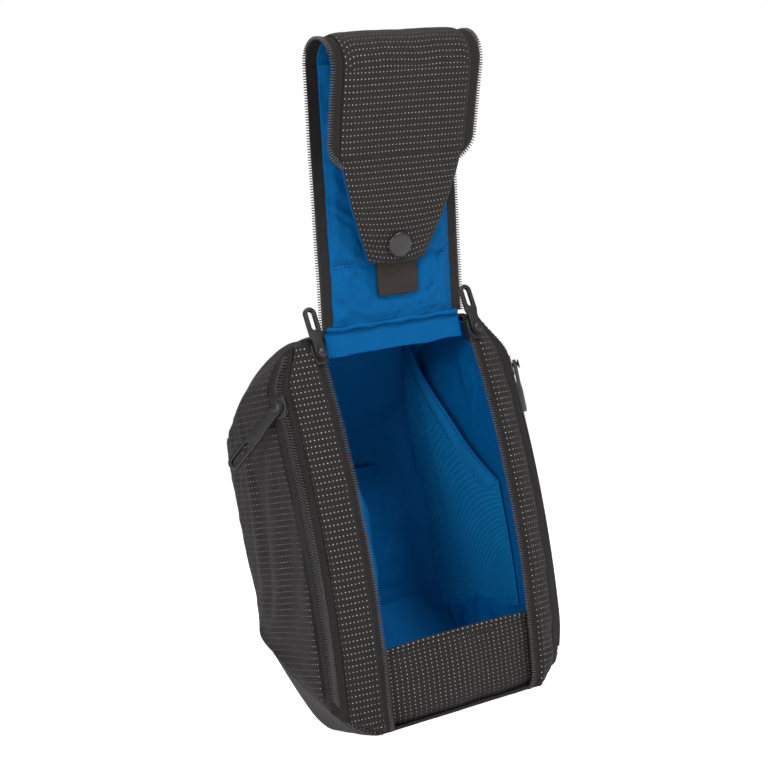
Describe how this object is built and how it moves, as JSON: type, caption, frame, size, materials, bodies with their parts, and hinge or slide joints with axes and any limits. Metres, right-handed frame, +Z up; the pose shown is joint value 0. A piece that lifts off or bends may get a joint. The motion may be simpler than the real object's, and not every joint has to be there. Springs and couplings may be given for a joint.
{
  "type": "toiletry bag",
  "caption": "Standing zip-open toiletry bag with side pockets, a lined compartment and a long flap that folds over and snaps into a hanging loop.",
  "frame": {"origin": "middle of the flat bottom end that the bag stands on", "axes": "+Z up along the bag's length, X across its width, the mouth faces -Y"},
  "size_m": [0.2082, 0.1708, 0.3809],
  "materials": {
    "dotted_cloth": "charcoal woven cloth with rows of small pale reflective dots",
    "dark_tape": "woven zipper tape, matte",
    "zipper_teeth": "black coil teeth on their woven tape",
    "blue_lining": "bright blue thin woven lining",
    "blue_mesh": "blue open mesh",
    "webbing": "brown-black ribbed webbing",
    "dark_metal": "dark grey satin",
    "moulded_pull": "charcoal moulded plastic"
  },
  "bodies": {
    "bag": {"flank_band_left": "dotted_cloth", "flank_band_right": "dotted_cloth", "pocket_face_left": "dotted_cloth", "pocket_face_right": "dotted_cloth", "top_panel": "dotted_cloth", "base_panel": "dotted_cloth", "back_panel": "dotted_cloth", "front_panel": "dotted_cloth", "pocket_tape_left": "dark_tape", "pocket_tape_right": "dark_tape", "hinge_piping": "dark_tape", "slip_pocket_hem": "dark_tape", "pocket_coil_left": "zipper_teeth", "pocket_coil_right": "zipper_teeth", "main_zip_left": "zipper_teeth", "main_zip_right": "zipper_teeth", "lining_top": "blue_lining", "lining_base": "blue_lining", "lining_left": "blue_lining", "lining_right": "blue_lining", "lining_back": "blue_lining", "lining_front": "blue_lining", "hinge_valance": "blue_lining", "slip_pocket": "blue_lining", "mesh_pocket_binding": "blue_lining", "handle_tab": "blue_lining", "mesh_pocket": "blue_mesh", "grab_handle": "webbing"},
    "flap_lower": {"flap_lower_outer": "dotted_cloth", "flap_fold_outer": "dotted_cloth", "flap_lower_zip_left": "zipper_teeth", "flap_lower_zip_right": "zipper_teeth", "flap_fold_zip_left": "zipper_teeth", "flap_fold_zip_right": "zipper_teeth", "flap_lower_lining": "blue_lining", "flap_fold_lining": "blue_lining", "webbing_tab": "webbing", "snap_stud": "dark_metal"},
    "flap_upper": {"flap_upper_outer": "dotted_cloth", "flap_upper_zip_left": "zipper_teeth", "flap_upper_zip_right": "zipper_teeth", "flap_upper_lining": "blue_lining"},
    "flap_end": {"flap_end_outer": "dotted_cloth", "flap_end_zip_left": "zipper_teeth", "flap_end_zip_right": "zipper_teeth", "flap_end_lining": "blue_lining"},
    "flap_tongue": {"flap_tongue_outer": "dotted_cloth", "flap_tongue_lining": "blue_lining", "snap_cap": "dark_metal", "snap_socket": "dark_metal"},
    "main_slider_left": {"main_slider_left": "dark_metal"},
    "main_pull_left": {"main_pull_left": "moulded_pull"},
    "main_slider_right": {"main_slider_right": "dark_metal"},
    "main_pull_right": {"main_pull_right": "moulded_pull"},
    "pocket_slider_left": {"pocket_slider_left": "dark_metal"},
    "pocket_pull_left": {"pocket_pull_left": "moulded_pull"},
    "pocket_slider_right": {"pocket_slider_right": "dark_metal"},
    "pocket_pull_right": {"pocket_pull_right": "moulded_pull"}
  },
  "joints": [
    {"name": "flap_hinge", "type": "hinge", "parent": "bag", "child": "flap_lower", "pos_m": [0, -0.0336, 0.2273], "axis": [1, 0, 0], "range_deg": [0, 162]},
    {"name": "flap_unfold", "type": "hinge", "parent": "flap_lower", "child": "flap_upper", "pos_m": [0, -0.09237, 0.38798], "axis": [1, 0, 0], "range_deg": [-191.5, 0]},
    {"name": "flap_wrap", "type": "hinge", "parent": "flap_upper", "child": "flap_end", "pos_m": [0, -0.07794, 0.32287], "axis": [1, 0, 0], "range_deg": [0, 87.5]},
    {"name": "tongue_unsnap", "type": "hinge", "parent": "flap_end", "child": "flap_tongue", "pos_m": [0, -0.07476, 0.30951], "axis": [1, 0, 0], "range_deg": [-60, 0]},
    {"name": "main_slider_left_run", "type": "hinge", "parent": "bag", "child": "main_slider_left", "pos_m": [0, 0.45361, 0.113], "axis": [1, 0, 0], "range_deg": [0, 23.7]},
    {"name": "main_pull_left_swing", "type": "hinge", "parent": "main_slider_left", "child": "main_pull_left", "pos_m": [-0.0532, -0.03902, 0.21549], "axis": [0, -0.979, 0.2037], "range_deg": [0, 170]},
    {"name": "main_slider_right_run", "type": "hinge", "parent": "bag", "child": "main_slider_right", "pos_m": [0, 0.45361, 0.113], "axis": [1, 0, 0], "range_deg": [0, 23.7]},
    {"name": "main_pull_right_swing", "type": "hinge", "parent": "main_slider_right", "child": "main_pull_right", "pos_m": [0.0532, -0.03902, 0.21549], "axis": [0, 0.979, -0.2037], "range_deg": [0, 170]},
    {"name": "pocket_slider_left_run", "type": "hinge", "parent": "bag", "child": "pocket_slider_left", "pos_m": [0, 0.52468, 0.113], "axis": [1, 0, 0], "range_deg": [0, 16.9]},
    {"name": "pocket_pull_left_swing", "type": "hinge", "parent": "pocket_slider_left", "child": "pocket_pull_left", "pos_m": [-0.08184, -0.02912, 0.18988], "axis": [-0.8351, -0.5449, 0.0756], "range_deg": [-60, 120]},
    {"name": "pocket_slider_right_run", "type": "hinge", "parent": "bag", "child": "pocket_slider_right", "pos_m": [0, 0.52468, 0.113], "axis": [1, 0, 0], "range_deg": [0, 16.9]},
    {"name": "pocket_pull_right_swing", "type": "hinge", "parent": "pocket_slider_right", "child": "pocket_pull_right", "pos_m": [0.08184, -0.02912, 0.18988], "axis": [-0.8351, 0.5449, -0.0756], "range_deg": [-60, 120]}
  ],
  "couplings": [
    {"joint": "flap_unfold", "follows": "flap_hinge", "ratio": -1.177},
    {"joint": "flap_wrap", "follows": "flap_hinge", "ratio": 0.537}
  ]
}
